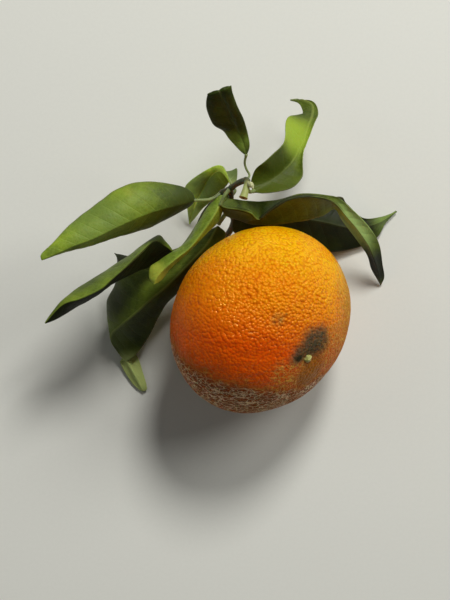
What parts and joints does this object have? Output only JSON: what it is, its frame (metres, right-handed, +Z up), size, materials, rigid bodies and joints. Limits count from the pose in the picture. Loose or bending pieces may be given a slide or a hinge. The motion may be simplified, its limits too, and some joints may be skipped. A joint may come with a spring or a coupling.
{
  "type": "mandarin",
  "caption": "Ripe mandarin lying on its side with its calyx, stalk and cut twig, and leaves that arch and fold round it.",
  "frame": {"origin": "middle of the flat spot that the fruit lies on, in the plane of the surface", "axes": "+Z up from the surface; +Y towards the twig's leaves at the top; +X towards the blossom end's side"},
  "size_m": [0.117, 0.1043, 0.0688],
  "materials": {
    "peel": "pebbled, waxy, slightly glossy",
    "style": "dry, matte",
    "calyx": "dry, matte",
    "bark": "smooth green bark, matte",
    "bud": "downy, matte",
    "petiole": "smooth, satin",
    "leaf": "leathery, semi-gloss above, paler and matte beneath"
  },
  "bodies": {
    "root": {"fruit": "peel", "blossom_nub": "style", "calyx": "calyx", "twig": "bark", "fruit_stalk": "bark", "bud": "bud", "petiole_upper_left": "petiole", "petiole_left": "petiole", "petiole_narrow": "petiole", "petiole_lower_left": "petiole", "petiole_behind_twig": "petiole", "petiole_top": "petiole", "petiole_top_right": "petiole", "petiole_right": "petiole", "petiole_far_right": "petiole", "leaf_upper_left": "leaf", "leaf_left": "leaf", "leaf_narrow": "leaf", "leaf_lower_left": "leaf", "leaf_behind_twig": "leaf", "leaf_top": "leaf", "leaf_top_right": "leaf", "leaf_right": "leaf", "leaf_far_right": "leaf"}
  },
  "joints": []
}
